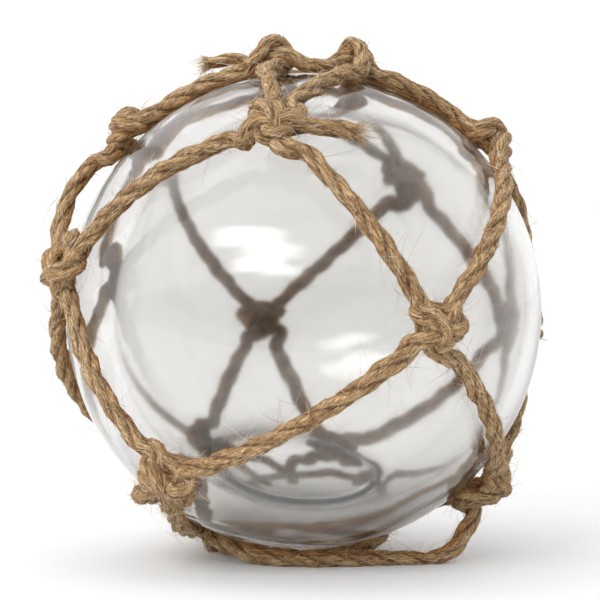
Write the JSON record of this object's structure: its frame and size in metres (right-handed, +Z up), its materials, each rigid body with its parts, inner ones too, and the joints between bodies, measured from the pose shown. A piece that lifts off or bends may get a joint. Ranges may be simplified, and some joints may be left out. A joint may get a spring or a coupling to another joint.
{
  "type": "rope-wrapped glass ball",
  "caption": "Clear glass ball in a hand-knotted jute rope net, gathered on a ring cord at the top and at the bottom, standing on the net's lower strands.",
  "frame": {"origin": "on the surface it stands on, under the middle of the part's box", "axes": "+Z up through the net's two rings, -Y towards the side the picture shows, +X to the right there"},
  "size_m": [0.134, 0.1352, 0.1403],
  "materials": {
    "clear_glass": "clear, glossy, thick-walled",
    "jute_rope": "three-ply twisted jute, hairy, matte"
  },
  "bodies": {
    "root": {"glass_ball": "clear_glass", "rope_net": "jute_rope", "top_ring_cord": "jute_rope", "bottom_ring_cord": "jute_rope"}
  },
  "joints": []
}
